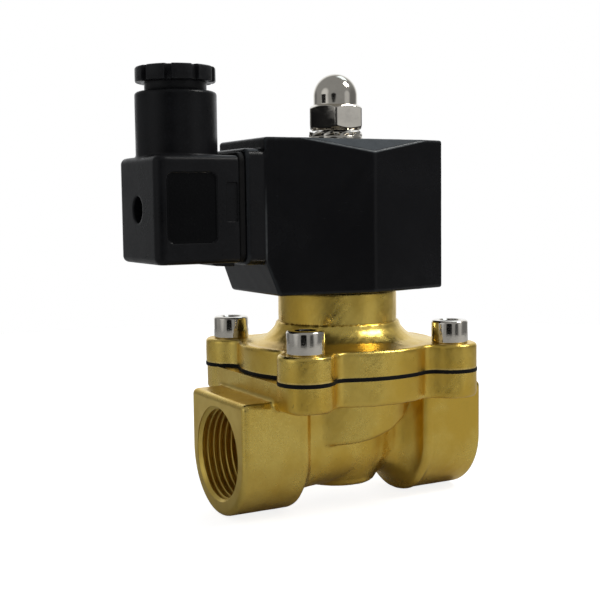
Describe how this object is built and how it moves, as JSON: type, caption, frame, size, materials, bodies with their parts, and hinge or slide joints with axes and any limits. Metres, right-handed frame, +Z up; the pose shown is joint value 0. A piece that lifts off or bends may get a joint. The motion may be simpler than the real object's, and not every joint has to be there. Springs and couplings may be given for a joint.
{
  "type": "solenoid valve",
  "caption": "Diaphragm solenoid valve in cast brass with threaded pipe ports, a hexagonal moulded coil on its stem and an angled cable plug.",
  "frame": {"origin": "where the pipe axis crosses the stem axis, midway between the port faces", "axes": "+X along the flow from inlet to outlet, +Z up the stem towards the coil and acorn nut, +Y to the valve's left looking downstream"},
  "size_m": [0.0969, 0.0594, 0.1195],
  "materials": {
    "cast_brass": "satin sand-cast and blasted brass with machined port and sealing faces",
    "turned_brass": "turned brass",
    "polished_steel": "polished nickel-plated or stainless steel fasteners",
    "stainless": "drawn stainless steel",
    "soft_iron": "ground magnetic stainless steel",
    "coil_plastic": "satin black moulded coil resin",
    "plug_plastic": "fine-textured satin black polyamide",
    "insert_plastic": "black polyamide terminal block",
    "bobbin_plastic": "natural polyamide bobbin",
    "rubber": "black nitrile rubber",
    "copper": "copper wire and copper ring",
    "tinned_brass": "tin-plated brass contacts"
  },
  "bodies": {
    "valve": {"valve_body": "cast_brass", "bonnet": "cast_brass", "bonnet_screw_1": "polished_steel", "bonnet_screw_2": "polished_steel", "bonnet_screw_3": "polished_steel", "bonnet_screw_4": "polished_steel", "diaphragm": "rubber", "diaphragm_spring": "stainless", "stem_tube": "stainless", "stem_oring": "rubber", "stem_ring_nut": "turned_brass", "fixed_core": "soft_iron", "shading_ring": "copper", "plunger_spring": "stainless", "flat_washer": "polished_steel", "lock_washer": "polished_steel", "acorn_nut": "polished_steel"},
    "plunger": {"plunger": "soft_iron", "plunger_seal": "rubber"},
    "diaphragm_core": {"diaphragm_plate": "turned_brass", "diaphragm_washer": "turned_brass", "pilot_seat": "stainless"},
    "coil": {"coil_housing": "coil_plastic", "coil_bobbin": "bobbin_plastic", "coil_winding": "copper", "yoke_sleeve": "soft_iron", "yoke_lower_plate": "soft_iron", "yoke_upper_plate": "soft_iron", "terminal_blade_1": "tinned_brass", "terminal_blade_2": "tinned_brass", "terminal_blade_earth": "tinned_brass", "connector_gasket": "rubber"},
    "plug": {"connector_housing": "plug_plastic", "terminal_insert": "insert_plastic", "terminal_screw_1": "tinned_brass", "terminal_screw_2": "tinned_brass", "terminal_screw_3": "tinned_brass", "connector_screw": "polished_steel", "gland_seal": "rubber"},
    "gland_ring": {"gland_slip_ring": "tinned_brass"},
    "gland_nut": {"gland_nut": "plug_plastic"}
  },
  "joints": [
    {"name": "plunger_lift", "type": "slide", "parent": "valve", "child": "plunger", "axis": [0, 0, 1], "range_m": [0, 0.005], "stiffness_N_per_m": 120, "springref_m": -0.01, "deforming": ["plunger_spring"]},
    {"name": "diaphragm_lift", "type": "slide", "parent": "valve", "child": "diaphragm_core", "axis": [0, 0, 1], "range_m": [0, 0.004], "deforming": ["diaphragm_spring", "diaphragm"]},
    {"name": "coil_swivel", "type": "hinge", "parent": "valve", "child": "coil", "pos_m": [0, 0, 0.0635], "axis": [0, 0, 1], "continuous": true},
    {"name": "plug_pull", "type": "slide", "parent": "coil", "child": "plug", "axis": [-1, 0, 0], "range_m": [0, 0.016]},
    {"name": "gland_nut_travel", "type": "slide", "parent": "plug", "child": "gland_ring", "axis": [0, 0, 1], "range_m": [-0.002, 0.0045]},
    {"name": "gland_nut_turn", "type": "hinge", "parent": "gland_ring", "child": "gland_nut", "pos_m": [-0.04775, 0, 0.096], "axis": [0, 0, 1], "range_deg": [-482, 1084]}
  ],
  "couplings": [
    {"joint": "diaphragm_lift", "follows": "plunger_lift", "ratio": 0.8},
    {"joint": "gland_nut_turn", "follows": "gland_nut_travel", "rad_per_m": 4188.8}
  ]
}
